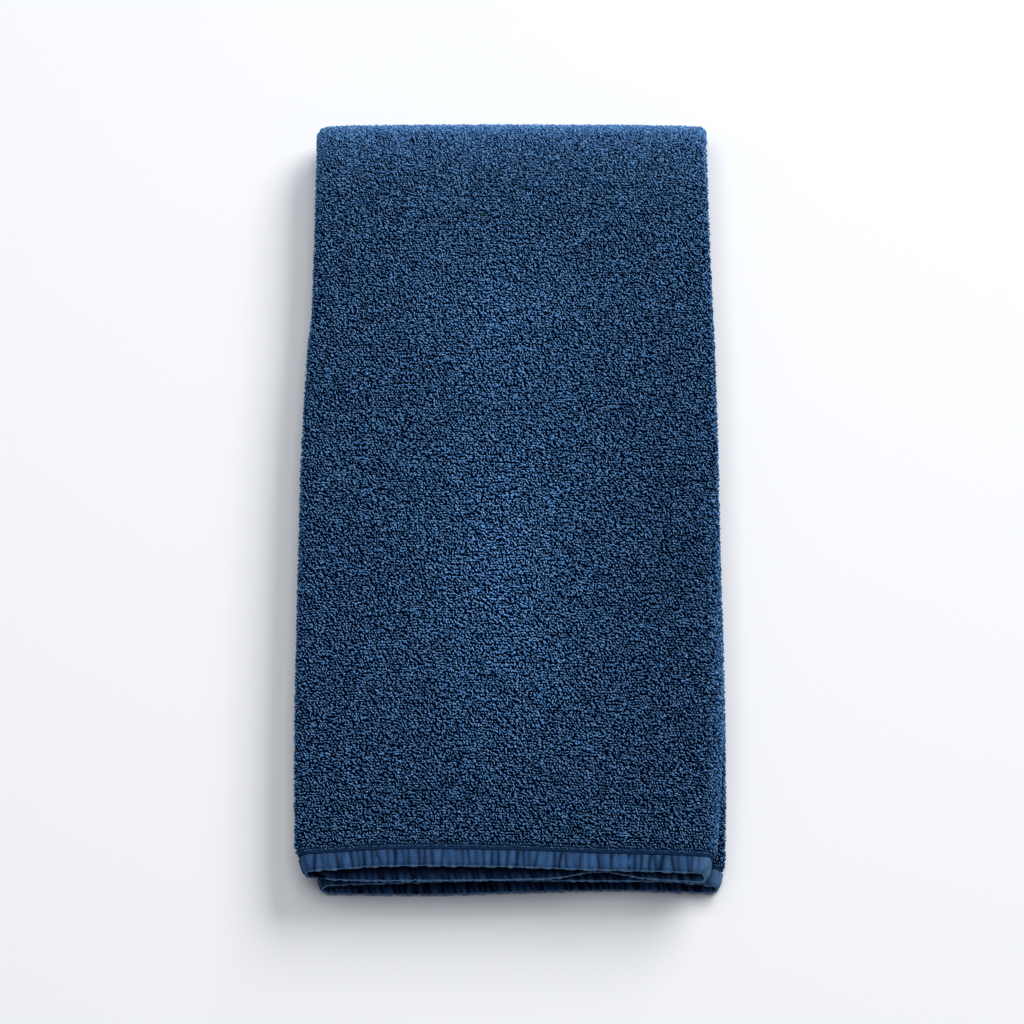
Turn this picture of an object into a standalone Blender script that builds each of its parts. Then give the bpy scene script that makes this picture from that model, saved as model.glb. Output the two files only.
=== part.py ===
"""A terry tea towel, folded in thirds across its width and then in half along its length.

Metres, +Z up. The folded towel rests on z = 0 with its box centred on the origin. The long
fold is at +Y and the bound short edges of all six layers face -Y.

Flat stations: u runs across the flat cloth from 0 to FLAT_WIDTH and v along it from 0 to
FLAT_LENGTH. The first third in u is the outer flap, then comes the face that shows, then the
inner flap. The first half in v is the upper stack of three layers, the second half the lower.
"""

import math
from collections import namedtuple

import bmesh
import bpy
import numpy as np

MM = 0.001

# The flat cloth, and the stack that it is folded into
FLAT_WIDTH = 500 * MM
FLAT_LENGTH = 700 * MM
STACK_WIDTH = 172 * MM
CLOTH_THICKNESS = 2.8 * MM
LAYER_PITCH = 3.8 * MM
TUCK = 1.0 * MM  # how far the inner flap stops short inside the left fold
SIDE_DROOP = 0.12  # share of the stack's height that is lost at its side folds

# The bound edge
TAPE_WIDTH = 7.0 * MM
TAPE_THICKNESS = 0.6 * MM
GAP = 0.3 * MM
STEP = 0.5 * MM  # run over which the pile ends at the tape
CORNER_TURNS = 2  # straight cuts that round each corner

# Distances of the layers' centres from the middle of the stack
OUTER_FLAP = LAYER_PITCH / 2
INNER_FLAP = OUTER_FLAP + LAYER_PITCH
FACE = INNER_FLAP + LAYER_PITCH

LEFT_FOLD_RADIUS = (FACE - OUTER_FLAP) / 2
RIGHT_FOLD_RADIUS = (FACE - INNER_FLAP) / 2
LEFT_FOLD_X = -STACK_WIDTH / 2 + CLOTH_THICKNESS / 2 + LEFT_FOLD_RADIUS
RIGHT_FOLD_X = STACK_WIDTH / 2 - CLOTH_THICKNESS / 2 - RIGHT_FOLD_RADIUS

# Flat stations at which each third ends
FACE_RUN = RIGHT_FOLD_X - LEFT_FOLD_X
LEFT_FOLD_RUN = math.pi * LEFT_FOLD_RADIUS
RIGHT_FOLD_RUN = math.pi * RIGHT_FOLD_RADIUS
INNER_FLAP_RUN = FACE_RUN - TUCK
OUTER_FLAP_END = FLAT_WIDTH - INNER_FLAP_RUN - RIGHT_FOLD_RUN - FACE_RUN - LEFT_FOLD_RUN
FACE_START = OUTER_FLAP_END + LEFT_FOLD_RUN
FACE_END = FACE_START + FACE_RUN
INNER_FLAP_START = FACE_END + RIGHT_FOLD_RUN

# The long fold at the far side
FAR_FOLD_RUN = math.pi * FACE
UPPER_RUN = (FLAT_LENGTH - FAR_FOLD_RUN) / 2

# How far each layer's bound edge stands out to the near side, upper and lower stack
NearEdge = namedtuple("NearEdge", "u upper lower")
NEAR_EDGES = (
    NearEdge(0 * MM, 2.6 * MM, -0.9 * MM),
    NearEdge(36 * MM, 2.7 * MM, -0.7 * MM),
    NearEdge(77 * MM, 2.4 * MM, 0.4 * MM),
    NearEdge(120 * MM, 2.0 * MM, 1.8 * MM),
    NearEdge(OUTER_FLAP_END, 1.0 * MM, 2.8 * MM),
    NearEdge(FACE_START, 0.8 * MM, 3.4 * MM),
    NearEdge(206 * MM, -0.6 * MM, 3.8 * MM),
    NearEdge(249 * MM, -0.1 * MM, 2.7 * MM),
    NearEdge(291 * MM, 1.3 * MM, 1.9 * MM),
    NearEdge(FACE_END, 2.0 * MM, 3.0 * MM),
    NearEdge(INNER_FLAP_START, 2.8 * MM, 1.6 * MM),
    NearEdge(361 * MM, 2.2 * MM, -0.2 * MM),
    NearEdge(380 * MM, -0.6 * MM, -0.3 * MM),
    NearEdge(402 * MM, 3.4 * MM, -0.5 * MM),
    NearEdge(433 * MM, 4.0 * MM, -1.0 * MM),
    NearEdge(470 * MM, 4.2 * MM, -1.4 * MM),
    NearEdge(FLAT_WIDTH, 3.4 * MM, -2.0 * MM),
)

# Where the side folds lie, from the far fold (0) to the near edges (1)
SideFolds = namedtuple("SideFolds", "run upper_left upper_right lower_left lower_right")
SIDE_FOLDS = (
    SideFolds(0.00, -84.2 * MM, 81.6 * MM, -84.2 * MM, 81.6 * MM),
    SideFolds(0.24, -84.8 * MM, 82.8 * MM, -83.0 * MM, 83.0 * MM),
    SideFolds(0.30, -86.4 * MM, 83.4 * MM, -83.2 * MM, 83.4 * MM),
    SideFolds(0.50, -88.2 * MM, 83.8 * MM, -83.6 * MM, 84.2 * MM),
    SideFolds(0.75, -88.4 * MM, 83.8 * MM, -81.4 * MM, 85.0 * MM),
    SideFolds(0.96, -87.2 * MM, 80.0 * MM, -80.0 * MM, 83.8 * MM),
    SideFolds(1.00, -84.6 * MM, 77.0 * MM, -78.2 * MM, 82.0 * MM),
)

# Straight steps that each stretch of cloth is divided into
FLAP_STEPS = 7
FACE_STEPS = 8
FOLD_STEPS = 6
LENGTH_STEPS = 8
FAR_FOLD_STEPS = 10

# How far each ring of the cloth's rim lies in from the cut edge, and its thickness there
RIM_IN = TAPE_THICKNESS + GAP
THIN_END = TAPE_WIDTH + GAP
THICK_START = THIN_END + STEP
THIN = CLOTH_THICKNESS - 2 * TAPE_THICKNESS - 2 * GAP

CLOTH_COLOUR = (0.022, 0.055, 0.122, 1.0)
TAPE_COLOUR = (0.019, 0.057, 0.140, 1.0)


def along(rows, place, column):
    """Value of a column at a place in the rows' first column, on a smooth curve that never overshoots."""
    at = np.array([row[0] for row in rows])
    value = np.array([getattr(row, column) for row in rows])
    step = np.diff(value) / np.diff(at)
    before, after = step[:-1], step[1:]
    goes_on = before * after > 0
    slope = np.zeros(len(at))
    slope[1:-1] = np.where(goes_on, 2 * before * after / np.where(goes_on, before + after, 1), 0)
    i = np.clip(np.searchsorted(at, place) - 1, 0, len(at) - 2)
    span = at[i + 1] - at[i]
    t = np.clip((place - at[i]) / span, 0, 1)
    start = (1 + 2 * t) * (1 - t) ** 2 * value[i] + t * (1 - t) ** 2 * span * slope[i]
    return start + t**2 * (3 - 2 * t) * value[i + 1] - t**2 * (1 - t) * span * slope[i + 1]


def across_stack(u):
    """Place across the stack, and distance from the middle of the stack, at a flat station u."""
    left_turn = np.clip((u - OUTER_FLAP_END) / LEFT_FOLD_RADIUS, 0, math.pi)
    right_turn = np.clip((u - FACE_END) / RIGHT_FOLD_RADIUS, 0, math.pi)
    x = LEFT_FOLD_X + np.clip(OUTER_FLAP_END - u, 0, None) - LEFT_FOLD_RADIUS * np.sin(left_turn)
    x = x + np.clip(u - FACE_START, 0, FACE_RUN) + RIGHT_FOLD_RADIUS * np.sin(right_turn)
    x = x - np.clip(u - INNER_FLAP_START, 0, None)
    distance = OUTER_FLAP + LEFT_FOLD_RADIUS * (1 - np.cos(left_turn))
    distance = distance - RIGHT_FOLD_RADIUS * (1 - np.cos(right_turn))
    return x, distance


def folded(u, v):
    """Centre of the folded cloth at flat stations u and v, as an array of points."""
    x, distance = across_stack(u)
    turn = np.clip((v - UPPER_RUN) / FACE, 0, math.pi)
    run = 1 - np.clip(np.minimum(v, FLAT_LENGTH - v) / UPPER_RUN, 0, 1)
    upper = v < FLAT_LENGTH / 2
    near = np.where(upper, along(NEAR_EDGES, u, "upper"), along(NEAR_EDGES, u, "lower"))
    left = np.where(upper, along(SIDE_FOLDS, run, "upper_left"), along(SIDE_FOLDS, run, "lower_left"))
    right = np.where(upper, along(SIDE_FOLDS, run, "upper_right"), along(SIDE_FOLDS, run, "lower_right"))
    side = x / (STACK_WIDTH / 2)
    droop = 1 - SIDE_DROOP * side**4
    level = FACE + distance * np.cos(turn)
    return np.stack(
        [
            (left + right) / 2 + side * (right - left) / 2,
            distance * np.sin(turn) - run * (UPPER_RUN + near),
            CLOTH_THICKNESS / 2 + level * droop,
        ],
        axis=-1,
    )


def raised(u, v, height):
    """Point at a height over the folded cloth's centre, square to it."""
    u, v, height = np.broadcast_arrays(u, v, height)
    small = 0.05 * MM
    across = folded(u + small, v) - folded(u - small, v)
    along_cloth = folded(u, v + small) - folded(u, v - small)
    normal = np.cross(across, along_cloth)
    normal /= np.linalg.norm(normal, axis=-1, keepdims=True)
    return folded(u, v) + height[..., None] * normal


def stations(ends, steps):
    """Stations from the first end to the last, with a number of even steps between each two."""
    spans = [np.linspace(a, b, n, endpoint=False) for a, b, n in zip(ends, ends[1:], steps)]
    return np.append(np.concatenate(spans), ends[-1])


def inner_stations():
    """Stations across and along the cloth, between the corners' centres."""
    across = stations(
        (THICK_START, OUTER_FLAP_END, FACE_START, FACE_END, INNER_FLAP_START, FLAT_WIDTH - THICK_START),
        (FLAP_STEPS, FOLD_STEPS, FACE_STEPS, FOLD_STEPS, FLAP_STEPS * 2),
    )
    far_end = FLAT_LENGTH - UPPER_RUN
    down = stations(
        (THICK_START, UPPER_RUN, far_end, FLAT_LENGTH - THICK_START),
        (LENGTH_STEPS, FAR_FOLD_STEPS, LENGTH_STEPS),
    )
    return across, down


def rounded(u, v):
    """Draws the corners of the flat cloth in to quarter circles."""
    past_u = np.clip(u, THICK_START, FLAT_WIDTH - THICK_START)
    past_v = np.clip(v, THICK_START, FLAT_LENGTH - THICK_START)
    out_u, out_v = u - past_u, v - past_v
    reach = np.maximum(np.abs(out_u), np.abs(out_v))
    length = np.hypot(out_u, out_v)
    scale = np.where(length > 0, reach / np.where(length > 0, length, 1), 1)
    return past_u + out_u * scale, past_v + out_v * scale


def new_object(name, mesh_maker, colour, roughness):
    """One named object with its own material."""
    mesh = bpy.data.meshes.new(name)
    work = bmesh.new()
    mesh_maker(work)
    work.to_mesh(mesh)
    work.free()
    mesh.shade_smooth()
    material = bpy.data.materials.new(name)
    material.use_nodes = True
    surface = material.node_tree.nodes["Principled BSDF"]
    surface.inputs["Base Color"].default_value = colour
    surface.inputs["Roughness"].default_value = roughness
    mesh.materials.append(material)
    return bpy.data.objects.new(name, mesh)


def cloth_mesh(work):
    """The cloth's middle surface: a grid laid through the folds."""
    across, down = inner_stations()
    rings = np.array([RIM_IN, THIN_END])
    across = np.concatenate([rings, across, FLAT_WIDTH - rings[::-1]])
    down = np.concatenate([rings, down, FLAT_LENGTH - rings[::-1]])
    bmesh.ops.create_grid(work, x_segments=len(across) - 1, y_segments=len(down) - 1, size=1)
    thickness = work.verts.layers.deform.verify()
    work.verts.ensure_lookup_table()
    v, u = np.meshgrid(down, across, indexing="ij")
    in_rim = (np.minimum(u, FLAT_WIDTH - u) <= THIN_END) | (np.minimum(v, FLAT_LENGTH - v) <= THIN_END)
    places = raised(*rounded(u, v), 0.0).reshape(-1, 3)
    for vert, place, rim in zip(work.verts, places, in_rim.ravel()):
        vert.co = place
        vert[thickness][0] = 0.0 if rim else 1.0


def tape_mesh(work):
    """The tape's middle surface: its folded section carried all the way round the cut edge."""
    half_thin = CLOTH_THICKNESS / 2 - TAPE_THICKNESS / 2
    fold_in = TAPE_THICKNESS / 2
    ease = fold_in + GAP
    section = (
        (TAPE_WIDTH, half_thin),
        (ease, half_thin),
        (fold_in, half_thin - GAP),
        (fold_in, GAP - half_thin),
        (ease, -half_thin),
        (TAPE_WIDTH, -half_thin),
    )
    across, down = inner_stations()
    sides = (
        (across, np.full_like(across, THICK_START), 270),
        (np.full_like(down, FLAT_WIDTH - THICK_START), down, 0),
        (across[::-1], np.full_like(across, FLAT_LENGTH - THICK_START), 90),
        (np.full_like(down, THICK_START), down[::-1], 180),
    )
    path = []
    for u, v, facing in sides:
        path += [(a, b, facing) for a, b in zip(u, v)]
        turns = [facing + 90 * k / CORNER_TURNS for k in range(1, CORNER_TURNS)]
        path += [(u[-1], v[-1], turn) for turn in turns]
    path.append(path[0])
    centre_u, centre_v, facing = np.array(path).T
    bmesh.ops.create_grid(work, x_segments=len(section) - 1, y_segments=len(path) - 1, size=1)
    work.verts.ensure_lookup_table()
    inset, height = np.array(section).T
    out = THICK_START - inset
    u = centre_u[:, None] + out * np.cos(np.radians(facing))[:, None]
    v = centre_v[:, None] + out * np.sin(np.radians(facing))[:, None]
    for vert, place in zip(work.verts, raised(u, v, height[None, :]).reshape(-1, 3)):
        vert.co = place
    bmesh.ops.remove_doubles(work, verts=work.verts, dist=0.01 * MM)
    bmesh.ops.recalc_face_normals(work, faces=work.faces)


def build_towel():
    """The cloth, thick with pile but pressed thin where the tape holds it."""
    towel = new_object("towel", cloth_mesh, CLOTH_COLOUR, 0.95)
    towel.vertex_groups.new(name="pile")
    shell = towel.modifiers.new("thickness", "SOLIDIFY")
    shell.thickness = CLOTH_THICKNESS
    shell.offset = 0
    shell.vertex_group = "pile"
    shell.thickness_vertex_group = THIN / CLOTH_THICKNESS
    return towel


def build_binding():
    """The edge tape, a folded strip of even thickness."""
    binding = new_object("binding", tape_mesh, TAPE_COLOUR, 0.7)
    shell = binding.modifiers.new("thickness", "SOLIDIFY")
    shell.thickness = TAPE_THICKNESS
    shell.offset = 0
    shell.use_even_offset = True
    return binding


def set_on_origin(objects):
    """Moves the meshes together, so that their joint box stands centred on the origin."""
    graph = bpy.context.evaluated_depsgraph_get()
    corners = [corner for obj in objects for corner in obj.evaluated_get(graph).bound_box]
    low = np.min(corners, axis=0)
    high = np.max(corners, axis=0)
    shift = -np.array([(low[0] + high[0]) / 2, (low[1] + high[1]) / 2, low[2]])
    for obj in objects:
        for vert in obj.data.vertices:
            vert.co = np.array(vert.co) + shift


def main():
    for old in list(bpy.data.objects):
        bpy.data.objects.remove(old, do_unlink=True)
    folder = bpy.data.collections.new("tea_towel")
    bpy.context.scene.collection.children.link(folder)
    objects = [build_towel(), build_binding()]
    for obj in objects:
        folder.objects.link(obj)
    bpy.context.view_layer.update()
    set_on_origin(objects)


main()
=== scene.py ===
"""Looks of a folded terry tea towel: ground cloth, loop pile, puckered edge tape and thread.

Metres, +Z up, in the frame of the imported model. Flat stations: u runs across the flat cloth and
v along it, both from a cut corner, and fold() lays them into the stack of six layers.
"""

import math
from collections import namedtuple

import bpy
import numpy as np
from mathutils import Matrix, Vector


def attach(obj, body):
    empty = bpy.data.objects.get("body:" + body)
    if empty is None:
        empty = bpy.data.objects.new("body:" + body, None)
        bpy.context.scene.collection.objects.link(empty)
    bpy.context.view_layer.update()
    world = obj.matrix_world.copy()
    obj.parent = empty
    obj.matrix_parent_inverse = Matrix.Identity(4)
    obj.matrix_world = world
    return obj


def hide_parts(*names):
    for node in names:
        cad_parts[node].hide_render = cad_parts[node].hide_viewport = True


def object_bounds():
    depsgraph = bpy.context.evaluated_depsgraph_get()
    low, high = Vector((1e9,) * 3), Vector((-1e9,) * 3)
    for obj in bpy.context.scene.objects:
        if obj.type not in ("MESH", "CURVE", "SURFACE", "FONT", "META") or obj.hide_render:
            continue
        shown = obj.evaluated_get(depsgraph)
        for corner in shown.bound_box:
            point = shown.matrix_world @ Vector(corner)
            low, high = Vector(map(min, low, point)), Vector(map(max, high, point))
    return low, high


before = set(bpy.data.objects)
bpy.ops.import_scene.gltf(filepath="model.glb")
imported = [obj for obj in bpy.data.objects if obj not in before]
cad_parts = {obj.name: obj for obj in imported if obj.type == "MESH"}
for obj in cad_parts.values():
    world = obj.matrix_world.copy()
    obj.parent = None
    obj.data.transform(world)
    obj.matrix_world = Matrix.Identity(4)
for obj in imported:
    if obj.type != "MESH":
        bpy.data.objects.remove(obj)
CAD_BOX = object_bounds()

MM = 0.001
SEED = 7

# The cloth and its folds, as the solids have them, but for the right fold's upper rim, which
# comes up to 1.4 mm further out here
FLAT_WIDTH = 500 * MM
FLAT_LENGTH = 700 * MM
STACK_WIDTH = 172 * MM
CLOTH_THICKNESS = 2.8 * MM
LAYER_PITCH = 3.8 * MM
TUCK = 1.0 * MM
SIDE_DROOP = 0.12
TAPE_WIDTH = 7.0 * MM
CORNER_RADIUS = 7.8 * MM

OUTER_FLAP = LAYER_PITCH / 2
INNER_FLAP = OUTER_FLAP + LAYER_PITCH
FACE = INNER_FLAP + LAYER_PITCH
LEFT_FOLD_RADIUS = (FACE - OUTER_FLAP) / 2
RIGHT_FOLD_RADIUS = (FACE - INNER_FLAP) / 2
LEFT_FOLD_X = -STACK_WIDTH / 2 + CLOTH_THICKNESS / 2 + LEFT_FOLD_RADIUS
RIGHT_FOLD_X = STACK_WIDTH / 2 - CLOTH_THICKNESS / 2 - RIGHT_FOLD_RADIUS

FACE_RUN = RIGHT_FOLD_X - LEFT_FOLD_X
LEFT_FOLD_RUN = math.pi * LEFT_FOLD_RADIUS
RIGHT_FOLD_RUN = math.pi * RIGHT_FOLD_RADIUS
OUTER_FLAP_END = FLAT_WIDTH - 2 * FACE_RUN + TUCK - RIGHT_FOLD_RUN - LEFT_FOLD_RUN
FACE_START = OUTER_FLAP_END + LEFT_FOLD_RUN
FACE_END = FACE_START + FACE_RUN
INNER_FLAP_START = FACE_END + RIGHT_FOLD_RUN
FAR_FOLD_RUN = math.pi * FACE
UPPER_RUN = (FLAT_LENGTH - FAR_FOLD_RUN) / 2

NearEdge = namedtuple("NearEdge", "u upper lower")
NEAR_EDGES = (
    NearEdge(0 * MM, 2.6 * MM, -0.9 * MM),
    NearEdge(36 * MM, 2.7 * MM, -0.7 * MM),
    NearEdge(77 * MM, 2.4 * MM, 0.4 * MM),
    NearEdge(120 * MM, 2.0 * MM, 1.8 * MM),
    NearEdge(OUTER_FLAP_END, 1.0 * MM, 2.8 * MM),
    NearEdge(FACE_START, 0.8 * MM, 3.4 * MM),
    NearEdge(206 * MM, -0.6 * MM, 3.8 * MM),
    NearEdge(249 * MM, -0.1 * MM, 2.7 * MM),
    NearEdge(291 * MM, 1.3 * MM, 1.9 * MM),
    NearEdge(FACE_END, 2.0 * MM, 3.0 * MM),
    NearEdge(INNER_FLAP_START, 4.2 * MM, 1.6 * MM),
    NearEdge(361 * MM, 3.2 * MM, -0.2 * MM),
    NearEdge(380 * MM, 0.4 * MM, -0.3 * MM),
    NearEdge(402 * MM, 3.4 * MM, -0.5 * MM),
    NearEdge(433 * MM, 4.0 * MM, -1.0 * MM),
    NearEdge(470 * MM, 4.2 * MM, -1.4 * MM),
    NearEdge(FLAT_WIDTH, 3.4 * MM, -2.0 * MM),
)

SideFolds = namedtuple("SideFolds", "run upper_left upper_right lower_left lower_right")
SIDE_FOLDS = (
    SideFolds(0.00, -84.2 * MM, 81.6 * MM, -84.2 * MM, 81.6 * MM),
    SideFolds(0.24, -84.8 * MM, 82.8 * MM, -83.0 * MM, 83.0 * MM),
    SideFolds(0.30, -86.4 * MM, 83.4 * MM, -83.2 * MM, 83.4 * MM),
    SideFolds(0.50, -88.2 * MM, 83.8 * MM, -83.6 * MM, 84.2 * MM),
    SideFolds(0.75, -88.4 * MM, 83.8 * MM, -81.4 * MM, 85.0 * MM),
    SideFolds(0.96, -87.2 * MM, 80.0 * MM, -80.0 * MM, 83.8 * MM),
    SideFolds(1.00, -84.6 * MM, 77.0 * MM, -78.2 * MM, 82.0 * MM),
)

# Finish sizes that only the looks have
GROUND_THICKNESS = 1.0 * MM
GROUND_IN = 1.2 * MM  # the ground cloth's edge, inside the tape
PILE_IN = 8.8 * MM  # the first row of loops, past the seam
PRESSED_RUN = 1.6 * MM  # run past the seam over which loops stand up
PALER_RUN = 90 * MM  # run from the far fold over which the pile is painted a little paler
FOLD_HAZE = 13 * MM  # run over which the far fold's painted sheen, a paler band, fades
SIDE_HAZE = 2.4 * MM  # half width of the painted highlight, a paler line, down the right fold's upper part, where light falls on its side
LOOP_HEIGHT = 1.15 * MM
LOOP_PITCH = 1.15 * MM
UNDER_PITCH = 2.1 * MM
TAPE_HALF = 1.22 * MM  # the tape's outer face over the cloth's centre
CLOTH_IN_TAPE = 0.62 * MM  # half the cloth that the tape closes on, the least its faces go in to
TAPE_WALL = 0.55 * MM  # the tape's inner walls, over the cloth's centre
RIM_ROUND = 0.9 * MM  # the run at the rim that the cloth inside doesn't reach
RIM_WAVE = 0.25 * MM
RIM_DRAWN = 0.65 * MM  # how far a pucker pulls the rim in
RIM_SOFT = 1.5 * MM  # the run at the rim that its waves move
PUCKER_SPAN = 6 * MM  # run either way past which a pucker no longer counts
RIM_YARN = 0.20 * MM  # radius of the raised line along the rim
ROUNDED_END = 0.9 * MM  # how far the side folds draw in at the rim
ROUNDED_RUN = 5.0 * MM
STITCH_PITCH = 2.3 * MM
STITCH_LENGTH = 1.7 * MM
STITCH_IN = 6.6 * MM
LOWER_LIT = 2.1  # how much further light reaches into the lower layers' shaded tape
PALE_FOLD = 0.45  # painted highlight: how far the tape is painted paler round the right fold, where light falls on it
PALE_RUN = 5.0 * MM

# Half the tape's cross-section from its stitched edge to its rim: distance in from the rim, and
# height as a share of TAPE_HALF
FLANK_IN = np.array([7.0, 6.95, 6.6, 5.6, 4.4, 3.2, 2.2, 1.5, 1.0, 0.65, 0.4, 0.15]) * MM
FLANK_RISE = np.array([0.62, 0.92, 1.0, 1.04, 1.05, 1.05, 1.02, 0.95, 0.80, 0.58, 0.60, 0.42])
WALL_IN = np.array([1.0, 6.9]) * MM

# The tape's two faces: which side of the cloth, how its puckers lie, and their painted shade: how dark
# the face is painted, how much darker down in its puckers, and how far in from the rim light reaches
# before the painted shade deepens
TapeFace = namedtuple("TapeFace", "side pitch depth slant shade dip hidden")
TAPE_FACES = (
    TapeFace(1, 3.1 * MM, 0.70 * MM, -0.03, 1.05, 1.05, 20 * MM),
    TapeFace(-1, 2.6 * MM, 0.85 * MM, 0.22, 0.52, 1.50, 3.0 * MM),
)

# Painted light and shade on the pile, in patches painted lighter or darker: centre and half spans on the
# stack, and how much lighter
LightPatch = namedtuple("LightPatch", "across along wide long lift")
PAINTED_LIGHT_PATCHES = (
    LightPatch(-5 * MM, 78 * MM, 26 * MM, 24 * MM, 0.26),
    LightPatch(-4 * MM, -42 * MM, 28 * MM, 74 * MM, 0.38),
    LightPatch(68 * MM, -30 * MM, 18 * MM, 120 * MM, -0.18),
    LightPatch(0 * MM, -160 * MM, 110 * MM, 40 * MM, -0.16),
    LightPatch(0 * MM, 132 * MM, 120 * MM, 30 * MM, -0.06),
)


def along(rows, place, column):
    """Value of a column at a place in the rows' first column, on a smooth curve that never overshoots."""
    at = np.array([row[0] for row in rows])
    value = np.array([getattr(row, column) for row in rows])
    step = np.diff(value) / np.diff(at)
    before, after = step[:-1], step[1:]
    goes_on = before * after > 0
    slope = np.zeros(len(at))
    slope[1:-1] = np.where(goes_on, 2 * before * after / np.where(goes_on, before + after, 1), 0)
    i = np.clip(np.searchsorted(at, place) - 1, 0, len(at) - 2)
    span = at[i + 1] - at[i]
    t = np.clip((place - at[i]) / span, 0, 1)
    start = (1 + 2 * t) * (1 - t) ** 2 * value[i] + t * (1 - t) ** 2 * span * slope[i]
    return start + t**2 * (3 - 2 * t) * value[i + 1] - t**2 * (1 - t) * span * slope[i + 1]


def across_stack(u):
    """Place across the stack, and distance from the middle of the stack, at a flat station u."""
    left_turn = np.clip((u - OUTER_FLAP_END) / LEFT_FOLD_RADIUS, 0, math.pi)
    right_turn = np.clip((u - FACE_END) / RIGHT_FOLD_RADIUS, 0, math.pi)
    x = LEFT_FOLD_X + np.clip(OUTER_FLAP_END - u, 0, None) - LEFT_FOLD_RADIUS * np.sin(left_turn)
    x = x + np.clip(u - FACE_START, 0, FACE_RUN) + RIGHT_FOLD_RADIUS * np.sin(right_turn)
    x = x - np.clip(u - INNER_FLAP_START, 0, None)
    distance = OUTER_FLAP + LEFT_FOLD_RADIUS * (1 - np.cos(left_turn))
    distance = distance - RIGHT_FOLD_RADIUS * (1 - np.cos(right_turn))
    return x, distance


def folded(u, v):
    """Centre of the folded cloth at flat stations u and v, before it is set on the frame."""
    x, distance = across_stack(u)
    turn = np.clip((v - UPPER_RUN) / FACE, 0, math.pi)
    run = np.clip(1 - np.minimum(v, FLAT_LENGTH - v) / UPPER_RUN, 0, None)
    upper = v < FLAT_LENGTH / 2
    near = np.where(upper, along(NEAR_EDGES, u, "upper"), along(NEAR_EDGES, u, "lower"))
    left = np.where(upper, along(SIDE_FOLDS, run, "upper_left"), along(SIDE_FOLDS, run, "lower_left"))
    right = np.where(upper, along(SIDE_FOLDS, run, "upper_right"), along(SIDE_FOLDS, run, "lower_right"))
    side = x / (STACK_WIDTH / 2)
    by_rim = np.clip(1 - np.minimum(v, FLAT_LENGTH - v) / ROUNDED_RUN, 0, 1)
    by_fold = np.clip((np.abs(side) - 0.6) / 0.4, 0, 1)
    rounded = ROUNDED_END * by_rim**2 * by_fold**2 * np.sign(side)
    droop = 1 - SIDE_DROOP * side**4
    level = FACE + distance * np.cos(turn)
    return np.stack(
        [
            (left + right) / 2 + side * (right - left) / 2 - rounded,
            distance * np.sin(turn) - run * (UPPER_RUN + near),
            CLOTH_THICKNESS / 2 + level * droop,
        ],
        axis=-1,
    )


def unit(vectors):
    return vectors / np.linalg.norm(vectors, axis=-1, keepdims=True)


def directions(u, v):
    """Unit directions across the cloth, along it and square to it."""
    small = 0.05 * MM
    across = unit(folded(u + small, v) - folded(u - small, v))
    down = folded(u, v + small) - folded(u, v - small)
    square = unit(np.cross(across, down))
    return across, np.cross(square, across), square


def raised(u, v, height):
    """Point at a height over the folded cloth's centre, square to it."""
    u, v, height = np.broadcast_arrays(u, v, height)
    return folded(u, v) + height[..., None] * directions(u, v)[2]


def frame_shift():
    """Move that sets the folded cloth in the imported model's box."""
    u, v = np.meshgrid(np.linspace(0, FLAT_WIDTH, 401), np.linspace(0, FLAT_LENGTH, 401))
    skin = raised(u, v, CLOTH_THICKNESS / 2).reshape(-1, 3)
    low, high = (np.array(corner) for corner in CAD_BOX)
    shift = (low + high) / 2 - (skin.min(axis=0) + skin.max(axis=0)) / 2
    shift[2] = low[2]
    return shift


SHIFT = frame_shift()


def placed(u, v, height):
    """As raised(), in the frame."""
    return raised(u, v, height) + SHIFT


class Sockets:
    """A node tree, with one method that adds any node to it."""

    def __init__(self, tree):
        self.tree = tree

    def node(self, kind, settings=None, inputs=None, output=0):
        """Adds a node: its settings first, then values or links for its sockets by name or index."""
        node = self.tree.nodes.new(kind)
        for name, value in (settings or {}).items():
            setattr(node, name, value)
        for name, value in (inputs or {}).items():
            self.feed(node.inputs[name], value)
        return Value(self, node.outputs[output]) if node.outputs else None

    def feed(self, socket, value):
        if isinstance(value, Value):
            self.tree.links.new(value.socket, socket)
        else:
            socket.default_value = value


class Value:
    """A socket in a sum: each operator adds its Math node, so 1 - mask and a * b work."""

    def __init__(self, sockets, socket):
        self.sockets = sockets
        self.socket = socket

    def maths(self, operation, *others, swap=False):
        terms = (*others, self) if swap else (self, *others)
        return self.sockets.node("ShaderNodeMath", {"operation": operation}, dict(enumerate(terms)))

    def __add__(self, other):
        return self.maths("ADD", other)

    def __radd__(self, other):
        return self.maths("ADD", other, swap=True)

    def __sub__(self, other):
        return self.maths("SUBTRACT", other)

    def __rsub__(self, other):
        return self.maths("SUBTRACT", other, swap=True)

    def __mul__(self, other):
        return self.maths("MULTIPLY", other)

    def __rmul__(self, other):
        return self.maths("MULTIPLY", other, swap=True)

    def sibling(self, name):
        """Another output of the same node."""
        return Value(self.sockets, self.socket.node.outputs[name])


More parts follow.
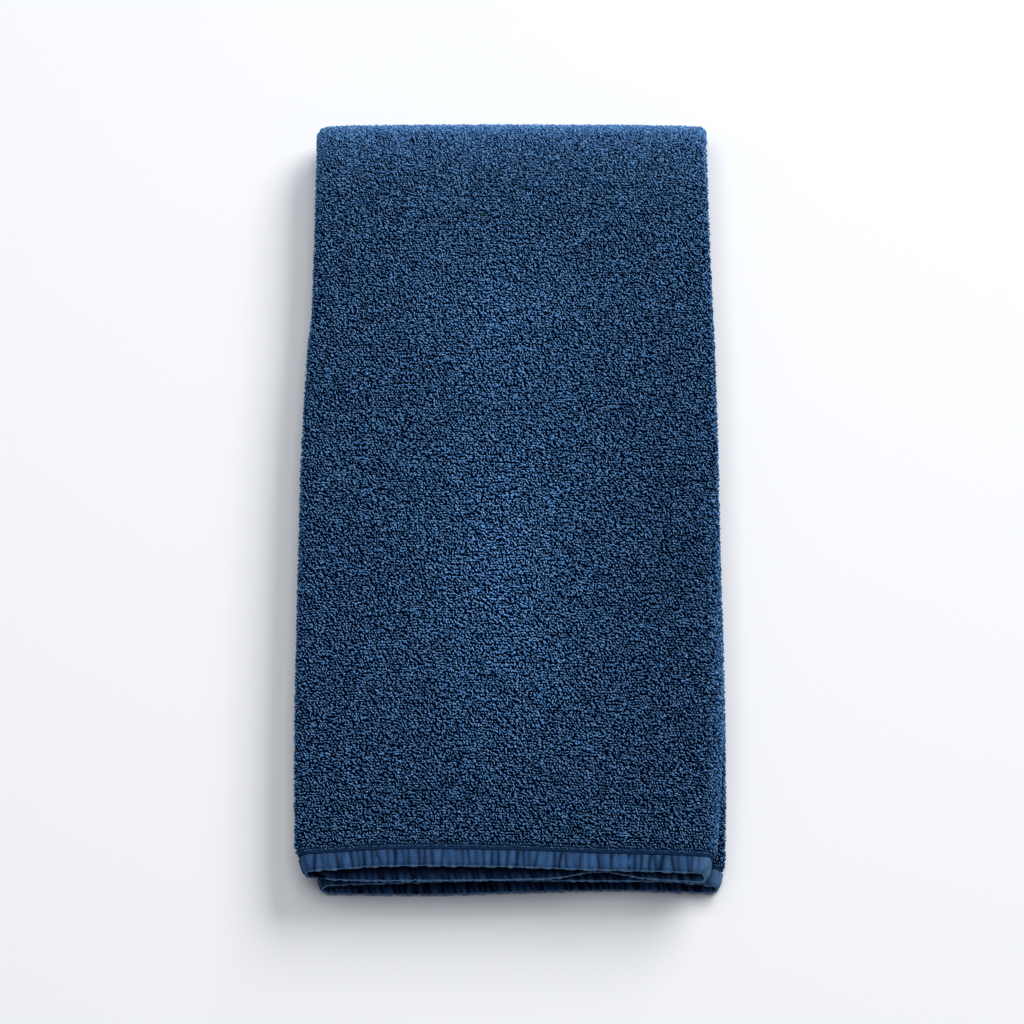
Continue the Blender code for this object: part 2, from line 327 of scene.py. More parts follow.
class Finish(Sockets):
    """A material with its Principled surface."""

    def __init__(self, name, roughness, sheen=0.0, sheen_tint=(1, 1, 1, 1), specular=0.3):
        self.material = bpy.data.materials.new(name)
        self.material.use_nodes = True
        super().__init__(self.material.node_tree)
        self.surface = self.tree.nodes["Principled BSDF"]
        self.surface.inputs["Roughness"].default_value = roughness
        self.surface.inputs["Specular IOR Level"].default_value = specular
        self.surface.inputs["Sheen Weight"].default_value = sheen
        self.surface.inputs["Sheen Roughness"].default_value = 0.5
        self.surface.inputs["Sheen Tint"].default_value = sheen_tint

    def colour(self, value):
        self.feed(self.surface.inputs["Base Color"], value)

    def bump(self, height, distance, strength=1.0):
        bumps = {"Height": height, "Distance": distance, "Strength": strength}
        self.feed(self.surface.inputs["Normal"], self.node("ShaderNodeBump", None, bumps))

    def attribute(self, name):
        return self.node("ShaderNodeAttribute", {"attribute_name": name}, None, "Fac")

    def blend(self, factor, low, high):
        """Colour between two colours."""
        node = self.node("ShaderNodeMix", {"data_type": "RGBA"}, {"Factor": factor})
        made = node.socket.node
        self.feed(made.inputs[6], low)
        self.feed(made.inputs[7], high)
        return Value(self, made.outputs[2])

    def step(self, value, low, high):
        """Smooth rise from 0 to 1 between two values."""
        inputs = {"Value": value, "From Min": low, "From Max": high}
        return self.node("ShaderNodeMapRange", {"interpolation_type": "SMOOTHSTEP"}, inputs)

    def scaled(self, colour, amount):
        inputs = {0: colour, "Scale": amount}
        return self.node("ShaderNodeVectorMath", {"operation": "SCALE"}, inputs)

    def noise(self, where, scale, detail=2.0):
        inputs = {"Vector": where, "Scale": scale, "Detail": detail}
        return self.node("ShaderNodeTexNoise", None, inputs, "Fac")


# Painted shade at the loops' feet, nearly black
FOOT_SHADE_BLUE = (0.0001, 0.0017, 0.0135, 1)
# Painted sheen: the pile's paler feet and flanks on the far fold and down the right fold
BODY_SHEEN_PAINT = (0.046, 0.134, 0.305, 1)
PILE_BLUE = (0.006, 0.049, 0.158, 1)
# The yarn's blue with a painted highlight, for the loops' tops
TIP_HIGHLIGHT_BLUE = (0.182, 0.410, 0.742, 1)
# Painted sheen on the loops' tops on the far fold and down the right fold
TIP_SHEEN_PAINT = (0.200, 0.430, 0.800, 1)
SEAM_BLUE = (0.012, 0.042, 0.115, 1)
TAPE_BLUE = (0.036, 0.102, 0.245, 1)
TAPE_SHADE = (0.0006, 0.005, 0.021, 1)
# Painted highlight along the tape's folded rim and round the right fold
RIM_HIGHLIGHT_BLUE = (0.110, 0.220, 0.385, 1)
SHEEN_BLUE = (0.35, 0.60, 1.0, 1)


def pile_finish():
    """Loop yarn: painted shade, nearly black, at the foot, bright on top with a painted highlight, a
    painted sheen on the far fold and down the right fold, and painted light and shade in patches.
    """
    finish = Finish("terry_pile", 0.95, specular=0.0)
    painted_sheen = finish.attribute("painted_sheen")
    lift = finish.attribute("rise") * (0.80 + 0.3 * finish.attribute("shade"))
    # A painted sheen lifts feet, flanks and tops on the far fold and down the right fold
    foot = finish.blend(painted_sheen, FOOT_SHADE_BLUE, BODY_SHEEN_PAINT)
    tip = finish.blend(painted_sheen, TIP_HIGHLIGHT_BLUE, TIP_SHEEN_PAINT)
    side = finish.blend(painted_sheen, PILE_BLUE, BODY_SHEEN_PAINT)
    # Colour rises with the height on the loop: painted shade at the foot, the yarn's blue on the flanks,
    # a painted highlight on top
    body = finish.blend(finish.step(lift, 0.2, 0.85), foot, side)
    yarn = finish.blend(finish.step(lift, 0.58, 1.05), body, tip)
    finish.colour(finish.scaled(yarn, finish.attribute("painted_light")))
    return finish.material


def ground_finish():
    """Plain woven ground: painted shade, nearly black, between the loops, blue where it shows along the
    seam.
    """
    finish = Finish("terry_ground", 0.95, specular=0.0)
    flat = finish.node("ShaderNodeUVMap", {"uv_map": "flat"})
    weave = finish.node(
        "ShaderNodeTexWave",
        {"bands_direction": "X"},
        {"Vector": flat, "Scale": 550.0, "Distortion": 1.5, "Detail": 1.0},
        "Fac",
    )
    down = finish.node("ShaderNodeSeparateXYZ", None, {0: flat}, 1)
    inset = down.maths("MINIMUM", FLAT_LENGTH - down)
    bare = finish.step(inset, TAPE_WIDTH, TAPE_WIDTH + 1.2 * MM) * finish.step(inset, 11 * MM, 9.5 * MM)
    # Painted shade: the ground between the loops is painted nearly black
    between = finish.blend(weave, (0.0002, 0.001, 0.005, 1), (0.0015, 0.006, 0.020, 1))
    finish.colour(finish.blend(bare * (0.7 + 0.3 * weave), between, SEAM_BLUE))
    finish.bump(weave, 0.0002)
    return finish.material


def tape_finish():
    """Fine ribbed tape, with painted shade down in its puckers and on its inner faces, and a painted
    highlight along its folded rim and round the right fold.
    """
    finish = Finish("tape_weave", 0.8, sheen=0.05, sheen_tint=SHEEN_BLUE, specular=0.06)
    flat = finish.node("ShaderNodeUVMap", {"uv_map": "flat"})
    rib = finish.node(
        "ShaderNodeTexWave",
        {"bands_direction": "X"},
        {"Vector": flat, "Scale": 900.0, "Distortion": 2.0, "Detail": 2.0},
        "Fac",
    )
    mottled = finish.noise(flat, 1200.0, 3.0)
    drawn_out = finish.node(
        "ShaderNodeVectorMath", {"operation": "MULTIPLY"}, {0: flat, 1: (1.0, 0.3, 1.0)}
    )
    pillow = finish.noise(drawn_out, 420.0, 2.0)
    # rise carries the painted shade of the faces, puckers and inner walls
    level = finish.attribute("rise") * (0.85 + 0.2 * rib) * (0.35 + 1.15 * mottled) * (0.4 + 1.2 * pillow)
    face = finish.blend(level, TAPE_SHADE, TAPE_BLUE)
    # rim carries the painted highlight along the rim and round the right fold
    finish.colour(finish.blend(finish.attribute("rim") * (0.6 + 0.8 * mottled), face, RIM_HIGHLIGHT_BLUE))
    finish.bump(rib + mottled, 0.00008, 0.6)
    return finish.material


def thread_finish(name, low, high, fuzz):
    """Twisted sewing thread."""
    finish = Finish(name, 0.7, sheen=fuzz, sheen_tint=SHEEN_BLUE, specular=0.2)
    where = finish.node("ShaderNodeTexCoord", None, None, "Object")
    ply = finish.noise(where, 1400.0, 2.0)
    finish.colour(finish.blend(ply, low, high))
    finish.bump(ply, 0.0001, 0.6)
    return finish.material


def mesh_of(name, points, faces):
    """A smooth mesh of points and the faces that join them."""
    mesh = bpy.data.meshes.new(name)
    mesh.from_pydata(points.reshape(-1, 3).tolist(), [], faces.tolist())
    mesh.shade_smooth()
    return mesh


def show(name, mesh):
    piece = bpy.data.objects.new(name, mesh)
    bpy.context.scene.collection.objects.link(piece)
    return piece


def grid_faces(rows, columns, closed_rows=False, closed_columns=False):
    """Quads of a grid of points, whose last row or column may join its first."""
    i, j = np.meshgrid(
        np.arange(rows if closed_rows else rows - 1),
        np.arange(columns if closed_columns else columns - 1),
        indexing="ij",
    )
    below, beside = (i + 1) % rows, (j + 1) % columns
    corners = [i * columns + j, i * columns + beside, below * columns + beside, below * columns + j]
    return np.stack([corner.ravel() for corner in corners], axis=-1)


def write_attribute(mesh, name, values, kind="FLOAT"):
    """One value or vector for each point of a mesh."""
    field = "vector" if kind == "FLOAT_VECTOR" else "value"
    layer = mesh.attributes.new(name, kind, "POINT")
    layer.data.foreach_set(field, np.ascontiguousarray(values, np.float32).ravel())


def write_uv(mesh, u, v):
    """The flat stations as a UV map, one pair for each point."""
    corner = np.empty(len(mesh.loops), np.int32)
    mesh.loops.foreach_get("vertex_index", corner)
    pairs = np.stack([np.broadcast_to(u, v.shape).ravel(), v.ravel()], axis=-1)
    mesh.uv_layers.new(name="flat").data.foreach_set("uv", pairs[corner].astype(np.float32).ravel())


def evenly(ends, step):
    """Stations through the ends, about a step apart; each stretch has its own step."""
    spans = []
    for a, b, size in zip(ends, ends[1:], step):
        spans.append(np.linspace(a, b, max(1, round((b - a) / size)), endpoint=False))
    return np.append(np.concatenate(spans), ends[-1])


def ground_cloth():
    """The woven sheet under the pile, closed all round."""
    u = evenly(
        (GROUND_IN, 8 * MM, OUTER_FLAP_END, FACE_START, FACE_END, INNER_FLAP_START, FLAT_WIDTH - 8 * MM,
         FLAT_WIDTH - GROUND_IN),
        (3.4 * MM, 8 * MM, 1 * MM, 5 * MM, 0.75 * MM, 8 * MM, 3.4 * MM),
    )
    v = evenly(
        (GROUND_IN, 8 * MM, UPPER_RUN, FLAT_LENGTH - UPPER_RUN, FLAT_LENGTH - 8 * MM,
         FLAT_LENGTH - GROUND_IN),
        (3.4 * MM, 6 * MM, 1.7 * MM, 6 * MM, 3.4 * MM),
    )
    v, u = np.meshgrid(v, u, indexing="ij")
    rows, columns = u.shape
    top = placed(u, v, GROUND_THICKNESS / 2)
    under = placed(u, v, -GROUND_THICKNESS / 2)
    faces = grid_faces(rows, columns)
    ring = np.concatenate(
        [
            np.arange(columns),
            np.arange(1, rows) * columns + columns - 1,
            (rows - 1) * columns + np.arange(columns - 2, -1, -1),
            np.arange(rows - 2, 0, -1) * columns,
        ]
    )
    ahead = np.roll(ring, -1)
    rim = np.stack([ahead, ring, ring + rows * columns, ahead + rows * columns], axis=-1)
    both = np.concatenate([faces, faces[:, ::-1] + rows * columns, rim])
    mesh = mesh_of("ground_cloth", np.concatenate([top.reshape(-1, 3), under.reshape(-1, 3)]), both)
    write_uv(mesh, np.stack([u, u]), np.stack([v, v]))
    mesh.materials.append(ground_finish())
    return show("ground_cloth", mesh)


def loop_shape():
    """One leaning loop of pile, blunt on top, a unit long, wide and high, its base sunk in the ground."""
    points = np.array(
        [
            (-0.56, -0.44, -0.25),
            (-0.46, 0.44, -0.25),
            (0.46, -0.44, -0.25),
            (0.56, 0.44, -0.25),
            (-0.30, -0.17, 0.88),
            (-0.23, 0.17, 0.92),
            (0.25, -0.18, 1.00),
            (0.33, 0.15, 0.95),
        ]
    )
    faces = [(4, 6, 7, 5), (0, 2, 6, 4), (3, 1, 5, 7), (1, 0, 4, 5), (2, 3, 7, 6)]
    mesh = bpy.data.meshes.new("loop")
    mesh.from_pydata(points.tolist(), [], faces)
    mesh.shade_smooth()
    write_attribute(mesh, "rise", np.clip(points[:, 2], 0, 1))
    return bpy.data.objects.new("loop", mesh)


def planting_tree():
    """Geometry Nodes: one shape on each foot, turned about the cloth's own directions."""
    tree = bpy.data.node_groups.new("planting", "GeometryNodeTree")
    ports = tree.interface
    ports.new_socket("Geometry", in_out="INPUT", socket_type="NodeSocketGeometry")
    for name, kind in (
        ("Shape", "NodeSocketObject"),
        ("Length", "NodeSocketFloat"),
        ("Width", "NodeSocketFloat"),
        ("Height", "NodeSocketFloat"),
        ("Size Spread", "NodeSocketFloat"),
        ("Turn", "NodeSocketFloat"),
        ("Turn Spread", "NodeSocketFloat"),
        ("Lean Spread", "NodeSocketFloat"),
        ("Swirl", "NodeSocketFloat"),
        ("Seed", "NodeSocketInt"),
        ("Material", "NodeSocketMaterial"),
    ):
        ports.new_socket(name, in_out="INPUT", socket_type=kind)
    ports.new_socket("Geometry", in_out="OUTPUT", socket_type="NodeSocketGeometry")
    nodes = Sockets(tree)
    given = nodes.node("NodeGroupInput")

    def attribute(name, kind):
        return nodes.node("GeometryNodeInputNamedAttribute", {"data_type": kind}, {"Name": name})

    def random(low, high, offset):
        seed = given.sibling("Seed") + offset
        node = nodes.node("FunctionNodeRandomValue", {"data_type": "FLOAT"})
        for socket in node.socket.node.inputs:
            if socket.enabled and socket.name in ("Min", "Max", "Seed"):
                nodes.feed(socket, {"Min": low, "Max": high, "Seed": seed}[socket.name])
        return Value(nodes, next(s for s in node.socket.node.outputs if s.enabled))

    upright = nodes.node(
        "FunctionNodeAlignRotationToVector",
        {"axis": "Z"},
        {"Factor": 1.0, "Vector": attribute("square", "FLOAT_VECTOR")},
    )
    level = nodes.node(
        "FunctionNodeAlignRotationToVector",
        {"axis": "X", "pivot_axis": "Z"},
        {"Rotation": upright, "Factor": 1.0, "Vector": attribute("ahead", "FLOAT_VECTOR")},
    )
    swirl = nodes.node("ShaderNodeTexNoise", None, {"Scale": 160.0, "Detail": 1.0}, 0)
    spread = random(-1.0, 1.0, 1) * given.sibling("Turn Spread")
    turn = given.sibling("Turn") + spread + (swirl - 0.5) * given.sibling("Swirl")
    lean = random(-1.0, 1.0, 2) * given.sibling("Lean Spread")
    pitch = random(-0.5, 0.5, 3) * given.sibling("Lean Spread")
    angles = nodes.node("ShaderNodeCombineXYZ", None, {0: lean, 1: pitch, 2: turn})
    euler = nodes.node("FunctionNodeEulerToRotation", None, {0: angles})
    turned = nodes.node(
        "FunctionNodeRotateRotation", {"rotation_space": "LOCAL"}, {"Rotation": level, "Rotate By": euler}
    )
    loose = given.sibling("Size Spread")
    size = nodes.node(
        "ShaderNodeCombineXYZ",
        None,
        {
            0: given.sibling("Length") * (1 + loose * random(-1.0, 1.0, 4)),
            1: given.sibling("Width") * (1 + loose * random(-0.7, 0.7, 5)),
            2: given.sibling("Height") * (1 + loose * random(-0.8, 0.9, 6)) * attribute("stand", "FLOAT"),
        },
    )
    shape = nodes.node("GeometryNodeObjectInfo", None, {"Object": given.sibling("Shape")}, "Geometry")
    laid = nodes.node(
        "GeometryNodeInstanceOnPoints",
        None,
        {"Points": given.sibling("Geometry"), "Instance": shape, "Rotation": turned, "Scale": size},
    )
    shaded = nodes.node(
        "GeometryNodeStoreNamedAttribute",
        {"data_type": "FLOAT", "domain": "INSTANCE"},
        {"Geometry": laid, "Name": "shade", "Value": random(0.0, 1.0, 7)},
    )
    real = nodes.node("GeometryNodeRealizeInstances", None, {"Geometry": shaded})
    finished = nodes.node(
        "GeometryNodeSetMaterial", None, {"Geometry": real, "Material": given.sibling("Material")}
    )
    nodes.node("NodeGroupOutput", None, {"Geometry": finished})
    return tree


def feet_mesh(name, places, ahead, square, values):
    """Feet for the planting tree, with their directions and any values that the shapes carry."""
    mesh = bpy.data.meshes.new(name)
    mesh.from_pydata(places.tolist(), [], [])
    write_attribute(mesh, "ahead", ahead, "FLOAT_VECTOR")
    write_attribute(mesh, "square", square, "FLOAT_VECTOR")
    for attribute, value in values.items():
        write_attribute(mesh, attribute, value)
    return mesh


def grown(name, feet, tree, values):
    """The plain mesh that a tree makes on a mesh of feet."""
    base = show(name + "_feet", feet)
    growth = base.modifiers.new(tree.name, "NODES")
    growth.node_group = tree
    for item in tree.interface.items_tree:
        if item.in_out == "INPUT" and item.name in values:
            growth[item.identifier] = values[item.name]
    graph = bpy.context.evaluated_depsgraph_get()
    mesh = bpy.data.meshes.new_from_object(base.evaluated_get(graph))
    mesh.name = name
    bpy.data.objects.remove(base, do_unlink=True)
    bpy.data.meshes.remove(feet)
    return show(name, mesh)


def evenly_outside(ends, pitch, folds):
    """Stations a pitch apart on the outer face, where the folds spread the loops."""
    station = np.linspace(ends[0], ends[1], 2000)
    outside = station.copy()
    for start, radius in folds:
        outside += 0.7 * LOOP_HEIGHT * np.clip((station - start) / radius, 0, math.pi)
    return np.interp(np.arange(outside[0], outside[-1], pitch), outside, station)


def loop_stations(u_ends, v_ends, pitch, random):
    """Flat stations of staggered rows of loops, each a little out of place."""
    side_folds = ((OUTER_FLAP_END, LEFT_FOLD_RADIUS), (FACE_END, RIGHT_FOLD_RADIUS))
    columns = evenly_outside(u_ends, pitch, side_folds)
    rows = evenly_outside(v_ends, pitch, ((UPPER_RUN, FACE),))
    v, u = np.meshgrid(rows, columns, indexing="ij")
    u = u + np.gradient(columns) / 2 * (np.arange(len(rows)) % 2)[:, None]
    u = u + random.normal(0, 0.12 * pitch, u.shape)
    v = v + random.normal(0, 0.12 * pitch, u.shape)
    return u, np.clip(v, PILE_IN, FLAT_LENGTH - PILE_IN)


def loop_feet(name, u, v):
    """Feet of loops on the outer face, pressed lower at the seam with painted shade there, a painted
    sheen at the far fold and down the right fold, and painted light and shade in patches.
    """
    places = placed(u, v, GROUND_THICKNESS / 2 - 0.1 * MM)
    across, _, square = directions(u, v)
    past_seam = (np.minimum(v, FLAT_LENGTH - v) - PILE_IN) / PRESSED_RUN
    from_fold = np.clip(np.abs(v - FLAT_LENGTH / 2) - FAR_FOLD_RUN / 2, 0, None)
    # Painted sheen, strongest on the far fold, and a painted highlight down the right fold where light
    # falls on it
    painted_sheen = 0.06 * np.clip(1 - from_fold / PALER_RUN, 0, 1) ** 2 + 0.94 * np.exp(-from_fold / FOLD_HAZE)
    by_side = 0.5 * np.exp(-(((u - FACE_END) / SIDE_HAZE) ** 2)) * np.clip(2.2 - 4 * v / UPPER_RUN, 0, 1)
    painted_sheen = np.clip(painted_sheen + by_side, 0, 1)
    # Painted shade on the loops just past the seam, and painted light and shade in patches
    painted_light = 0.6 + 0.4 * np.clip(past_seam / 2, 0, 1)
    for patch in PAINTED_LIGHT_PATCHES:
        off_across = (places[:, 0] - patch.across) / patch.wide
        off_along = (places[:, 1] - patch.along) / patch.long
        painted_light += patch.lift * np.exp(-(off_across**2 + off_along**2))
    values = {"stand": np.clip(0.4 + 0.6 * past_seam, 0.4, 1), "painted_sheen": painted_sheen, "painted_light": painted_light}
    return feet_mesh(name, places, across, square, values)


def pile(tree):
    """The loops on every face of the cloth that shows: upper face, far fold, sides and underside."""
    random = np.random.default_rng(SEED)
    shape = loop_shape()
    material = pile_finish()
    left_start, left_end = OUTER_FLAP_END - 5 * MM, FACE_START + 4 * MM
    right_start, right_end = FACE_END - 4 * MM, INNER_FLAP_START + 4 * MM
    under_start = FLAT_LENGTH - UPPER_RUN + 3 * MM
    upper, under = (PILE_IN, under_start), (under_start, FLAT_LENGTH - PILE_IN)
    stretches = (
        ("upper", (left_start, right_end), upper, LOOP_PITCH, LOOP_HEIGHT, 4),
        ("left", (left_start, left_end), under, LOOP_PITCH, 0.9 * LOOP_HEIGHT, 1),
        ("under", (left_end, right_start), under, UNDER_PITCH, 0.75 * LOOP_HEIGHT, 1),
        ("right", (right_start, right_end), under, LOOP_PITCH, 0.9 * LOOP_HEIGHT, 1),
    )
    pieces = []
    for stretch, u_ends, v_ends, pitch, height, count in stretches:
        u, v = loop_stations(u_ends, v_ends, pitch, random)
        for k, columns in enumerate(np.array_split(np.arange(u.shape[1]), count), 1):
            name = f"pile_{stretch}_{k}"
            feet = loop_feet(name, u[:, columns].ravel(), v[:, columns].ravel())
            growth = {
                "Shape": shape,
                "Length": 1.16 * pitch,
                "Width": 0.60 * pitch,
                "Height": height,
                "Size Spread": 0.32,
                "Turn": math.radians(-38),
                "Turn Spread": math.radians(46),
                "Lean Spread": math.radians(28),
                "Swirl": math.radians(100),
                "Seed": SEED + k,
                "Material": material,
            }
            pieces.append(grown(name, feet, tree, growth))
    bpy.data.objects.remove(shape)
    return pieces


RimPath = namedtuple("RimPath", "u v facing run")


def rim_path(near_step, side_step, turns):
    """Corner centres, outward angles and run along the cloth's rim, once round."""
    low, wide, long = CORNER_RADIUS, FLAT_WIDTH - CORNER_RADIUS, FLAT_LENGTH - CORNER_RADIUS
    across = evenly((low, OUTER_FLAP_END, FACE_START, FACE_END, INNER_FLAP_START, wide), (near_step,) * 5)
    down = evenly((low, UPPER_RUN, FLAT_LENGTH - UPPER_RUN, long), (side_step, 1.5 * MM, side_step))
    sides = (
        (across, np.full_like(across, low), 270),
        (np.full_like(down, wide), down, 360),
        (across[::-1], np.full_like(across, long), 450),
        (np.full_like(down, low), down[::-1], 540),
    )
    stops = []
    for u, v, facing in sides:
        stops += [(a, b, facing) for a, b in zip(u, v)]
        stops += [(u[-1], v[-1], facing + 90 * k / turns) for k in range(1, turns)]
    stops.append((stops[0][0], stops[0][1], 630))
    u, v, facing = np.array(stops).T
    facing = np.radians(facing)
    edge_u = u + CORNER_RADIUS * np.cos(facing)
    edge_v = v + CORNER_RADIUS * np.sin(facing)
    run = np.concatenate([[0], np.cumsum(np.hypot(np.diff(edge_u), np.diff(edge_v)))])
    return RimPath(u[:-1], v[:-1], facing[:-1], run[:-1])


def rim_points(path, inset, height):
    """Points on the rim's cross-sections, at distances in from the cut edge and heights."""
    u, v, facing, _ = path
    out = CORNER_RADIUS - inset
    return placed(
        u[:, None] + out * np.cos(facing)[:, None], v[:, None] + out * np.sin(facing)[:, None], height
    )


def rim_lean(path):
    """How far the folds carry the tape along the rim, for each unit in from the rim."""
    rim, seam = np.moveaxis(rim_points(path, np.array([[0.0, TAPE_WIDTH]]), 0.0), 1, 0)
    ahead = unit(np.roll(rim, -1, axis=0) - np.roll(rim, 1, axis=0))
    return np.clip(np.sum((seam - rim) * ahead, axis=1) / TAPE_WIDTH, -0.6, 0.6)


def puckers(run, inset, lean, face, random):
    """Irregular gathers square to the rim: how far each point is drawn in, from 0 to about 1."""
    total = run[-1] + face.pitch
    count = round(total / face.pitch)
    places = (np.arange(count) + random.uniform(-0.32, 0.32, count)) * total / count
    depths = random.uniform(0.35, 1.0, count)
    widths = random.uniform(0.42, 0.72, count) * MM
    slants = face.slant + random.normal(0, 0.08, count) - np.interp(places, run, lean)
    reaches = random.uniform(0.4, 1.7, (count, 2)) * TAPE_WIDTH  # in from the rim, out from the seam
    drawn = np.zeros(inset.shape)
    for place, depth, width, slant, (from_rim, from_seam) in zip(places, depths, widths, slants, reaches):
        rows = np.abs(run - place) < PUCKER_SPAN
        off = (run[rows, None] - place - slant * (inset[rows] - TAPE_WIDTH / 2)) / width
        fade = np.clip((from_rim - inset[rows]) / (2 * MM), 0, 1)
        fade = np.maximum(fade, np.clip((from_seam - TAPE_WIDTH + inset[rows]) / (2 * MM), 0, 1))
        drawn[rows] += depth * fade * (0.6 * np.exp(-(off**2)) + 0.5 * np.exp(-((off / 2.4) ** 2)))
    return drawn


def smooth_tape(count):
    """Inset and height of every point of the tape before it is gathered, a row for each section."""
    rise = FLANK_RISE * TAPE_HALF
    wall = np.full(len(WALL_IN), TAPE_WALL)
    inset = np.concatenate([FLANK_IN, [0], FLANK_IN[::-1], WALL_IN[::-1], WALL_IN])
    height = np.concatenate([rise, [0], -rise[::-1], -wall, wall])
    return np.tile(inset, (count, 1)), np.tile(height, (count, 1))


def tape():
    """The folded tape round the cut edge, gathered into puckers on both faces."""
    random = np.random.default_rng(SEED + 1)
    path = rim_path(0.6 * MM, 2.0 * MM, 8)
    run = path.run
    inset, height = smooth_tape(len(run))
    count = len(FLANK_IN)
    colour = np.ones(inset.shape)
    colour[:, 2 * count + 1 :] = 0  # the walls inside, painted black as shade
    pulled = np.zeros(len(run))
    lean = rim_lean(path)
    for face in TAPE_FACES:
        columns = slice(0, count) if face.side > 0 else slice(count + 1, 2 * count + 1)
        drawn = puckers(run, inset[:, columns], lean, face, random)
        swell = random.normal(0, 1, 4)
        slow = sum(a * np.sin(run / (k * MM) + a) for a, k in zip(swell, (5.1, 7.7, 11.9, 17.3)))
        weight = np.clip(np.abs(height[:, columns]) / TAPE_HALF, 0, 1)
        level = face.side * height[:, columns]
        level = level + weight * (0.05 * MM * slow[:, None] - face.depth * drawn)
        least = np.where(inset[:, columns] > RIM_ROUND, CLOTH_IN_TAPE, 0.1 * MM)
        height[:, columns] = face.side * np.maximum(level, least)
        # Painted shade: each face is painted darker by its shade, darker down in its puckers by its dip,
        # and darker further in from the rim past its hidden depth, where the layers above shade it; the
        # lower layers' inner face less so
        reach = np.where((path.v > FLAT_LENGTH / 2) & (face.side < 0), LOWER_LIT, 1)[:, None]
        lit = reach * np.clip(1.25 - inset[:, columns] / (face.hidden * reach), 0.12, 1)
        colour[:, columns] = face.shade * lit * np.clip(1 - face.dip * drawn, 0, 1)
        pulled += drawn[:, -1 if face.side > 0 else 0] / 2
    wander = np.sin(run / (0.42 * MM) + 3.0 * np.sin(run / (4.0 * MM))) + np.sin(run / (1.3 * MM))
    edge_in = RIM_WAVE / 2 * wander + RIM_DRAWN * pulled
    edge_up = RIM_WAVE / 2 * np.roll(wander, 2)
    near_rim = np.clip(1 - inset / RIM_SOFT, 0, 1)
    inset += near_rim * edge_in[:, None]
    height += near_rim * edge_up[:, None]
    faces = grid_faces(*inset.shape, closed_rows=True, closed_columns=True)
    mesh = mesh_of("edge_tape", rim_points(path, inset, height), faces)
    section = np.cumsum(np.hypot(*np.diff([inset[0], height[0]], axis=1, prepend=0)))
    write_uv(mesh, np.broadcast_to(run[:, None], inset.shape), np.broadcast_to(section, inset.shape))
    write_attribute(mesh, "rise", colour)
    # Painted highlight: paler along the folded rim, and round the right fold where light falls on the
    # tape
    from_fold = path.u - (FACE_END + INNER_FLAP_START) / 2
    pale = PALE_FOLD * np.exp(-((from_fold / PALE_RUN) ** 2))[:, None]
    outer = np.arange(inset.shape[1]) < count
    write_attribute(mesh, "rim", np.clip(1.3 - inset / (0.5 * MM), pale * outer, 1))
    mesh.materials.append(tape_finish())
    return show("edge_tape", mesh), path, (edge_in, edge_up), height[:, 2]


def rim_thread(path, edge):
    """The fine raised line along the tape's folded edge."""
    turns = np.linspace(0, 2 * math.pi, 5, endpoint=False)
    edge_in, edge_up = edge
    inset = edge_in[:, None] - RIM_YARN * np.cos(turns)
    height = edge_up[:, None] + RIM_YARN * np.sin(turns)
    faces = grid_faces(*inset.shape, closed_rows=True, closed_columns=True)
    mesh = mesh_of("rim_thread", rim_points(path, inset, height), faces[:, ::-1])
    # The thread's paler ply is a painted highlight along the rim
    mesh.materials.append(thread_finish("rim_yarn", TAPE_BLUE, RIM_HIGHLIGHT_BLUE, 0.6))
    return show("rim_thread", mesh)


def stitch_shape():
    """One stitch: a short bead of thread, a unit long, wide and high, pinched at both ends."""
    turns = np.linspace(0, 2 * math.pi, 5, endpoint=False)
    rings = np.array([(-0.5, 0.35, -0.35), (0.0, 0.5, 0.0), (0.5, 0.35, -0.35)])
    points = np.array(
        [(x, girth * math.cos(a), sag + girth * math.sin(a)) for x, girth, sag in rings for a in turns]
    )
    faces = grid_faces(len(rings), len(turns), closed_columns=True).tolist()
    faces += [list(range(len(turns)))[::-1], list(range(len(points) - len(turns), len(points)))]
    mesh = bpy.data.meshes.new("stitch")
    mesh.from_pydata(points.tolist(), [], faces)
    mesh.shade_smooth()
    return bpy.data.objects.new("stitch", mesh)


def seam_stitches(tree, path, by_seam):
    """The row of stitches that holds the tape, on its outer face."""
    u, v, facing, run = path
    at = np.arange(STITCH_PITCH / 2, run[-1], STITCH_PITCH)
    out = CORNER_RADIUS - STITCH_IN
    seam_u = np.interp(at, run, u + out * np.cos(facing))
    seam_v = np.interp(at, run, v + out * np.sin(facing))
    places = placed(seam_u, seam_v, np.interp(at, run, by_seam) + 0.03 * MM)
    feet = feet_mesh(
        "seam_stitches",
        places,
        unit(np.roll(places, -1, axis=0) - places),
        directions(seam_u, seam_v)[2],
        {"stand": np.ones(len(places))},
    )
    shape = stitch_shape()
    sewing = {
        "Shape": shape,
        "Length": STITCH_LENGTH,
        "Width": 0.34 * MM,
        "Height": 0.30 * MM,
        "Size Spread": 0.08,
        "Turn Spread": math.radians(5),
        "Seed": SEED,
        "Material": thread_finish("seam_yarn", TAPE_SHADE, TAPE_BLUE, 0.2),
    }
    stitches = grown("seam_stitches", feet, tree, sewing)
    bpy.data.objects.remove(shape)
    return stitches


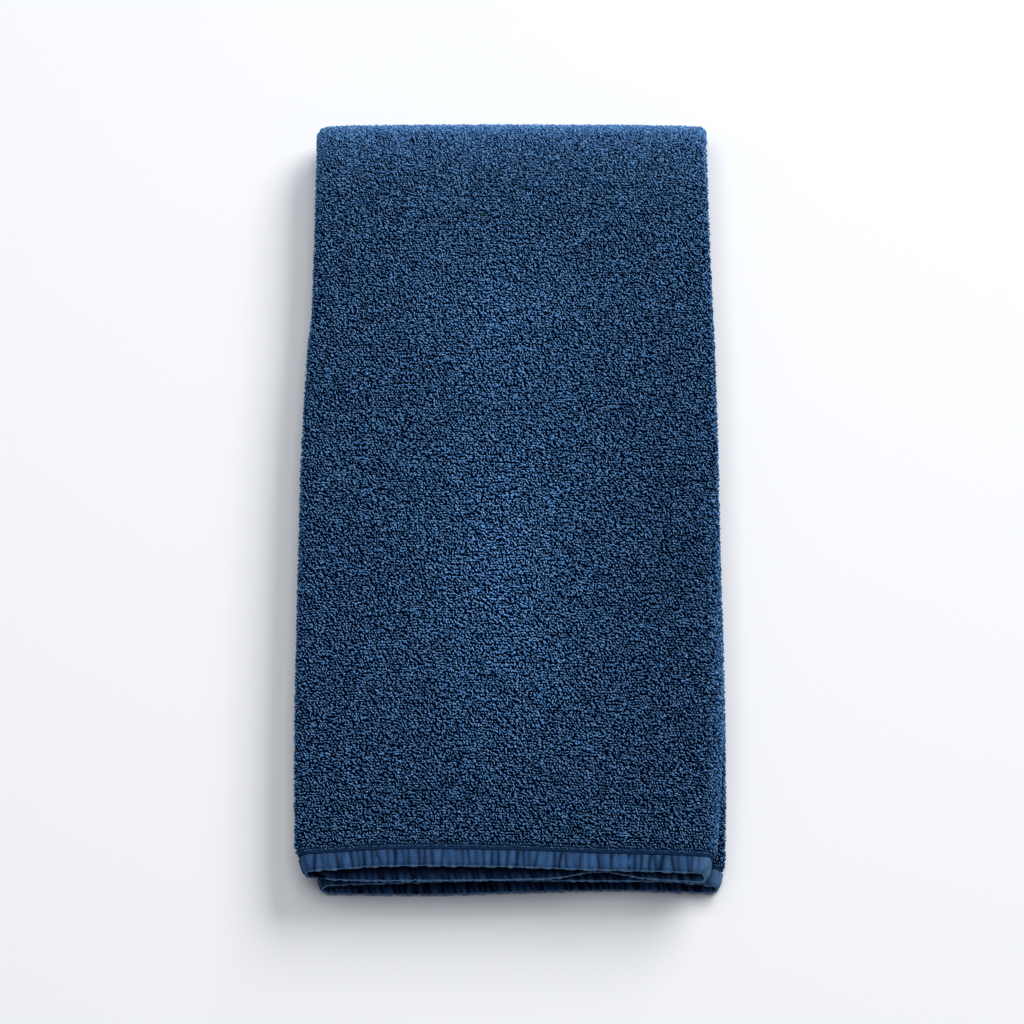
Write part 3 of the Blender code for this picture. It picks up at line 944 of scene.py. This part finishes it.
def soft_box(name, place, wide, long, energy):
    """A rectangular lamp that faces the towel, its long side in line with the towel's."""
    light = bpy.data.lights.new(name, "AREA")
    light.shape = "RECTANGLE"
    light.size = wide
    light.size_y = long
    light.energy = energy
    lamp = bpy.data.objects.new(name, light)
    away = Vector(place).normalized()
    aside = Vector((0, 1, 0)).cross(away).normalized()
    turn = Matrix((aside, away.cross(aside), away)).transposed()
    lamp.matrix_world = Matrix.Translation(place) @ turn.to_4x4()
    bpy.context.scene.collection.objects.link(lamp)


def light_and_floor():
    """Plain white floor under a wide soft box overhead, with one soft key from the far right."""
    bpy.ops.mesh.primitive_plane_add(size=16, location=(0, 0, -0.0003))
    floor = bpy.context.object
    floor.name = "floor"
    finish = Finish("floor_white", 0.9, specular=0.1)
    finish.colour((0.89, 0.895, 0.91, 1))
    floor.data.materials.append(finish.material)
    soft_box("overhead", (-0.24, 0.10, 1.85), 1.5, 1.5, 18)
    soft_box("key", (1.70, 2.00, 1.80), 1.5, 2.6, 101)
    world = bpy.data.worlds.new("studio")
    world.use_nodes = True
    world.node_tree.nodes["Background"].inputs["Color"].default_value = (0.86, 0.94, 1.10, 1)
    world.node_tree.nodes["Background"].inputs["Strength"].default_value = 0.145
    bpy.context.scene.world = world
    bpy.context.scene.view_settings.view_transform = "Standard"


def camera():
    """Long lens, looking down on the towel from its near side."""
    tilt = math.radians(27)
    aim = Vector((0.0006, -0.0150, 0.0230))
    data = bpy.data.cameras.new("camera")
    data.lens = 172.7
    data.sensor_width = 36
    data.clip_end = 20
    eye = bpy.data.objects.new("camera", data)
    eye.location = aim + 2.002 * Vector((0, -math.sin(tilt), math.cos(tilt)))
    eye.rotation_euler = (tilt, 0, 0)
    bpy.context.scene.collection.objects.link(eye)
    bpy.context.scene.camera = eye


def main():
    cloth = ground_cloth()
    tree = planting_tree()
    loops = pile(tree)
    band, path, edge, by_seam = tape()
    trims = [rim_thread(path, edge), seam_stitches(tree, path, by_seam)]
    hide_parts("towel")
    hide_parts("binding")
    for slot, pieces in (("terry", [cloth, *loops]), ("tape", [band, *trims])):
        for piece in pieces:
            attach(piece, "root")
    light_and_floor()
    camera()


main()
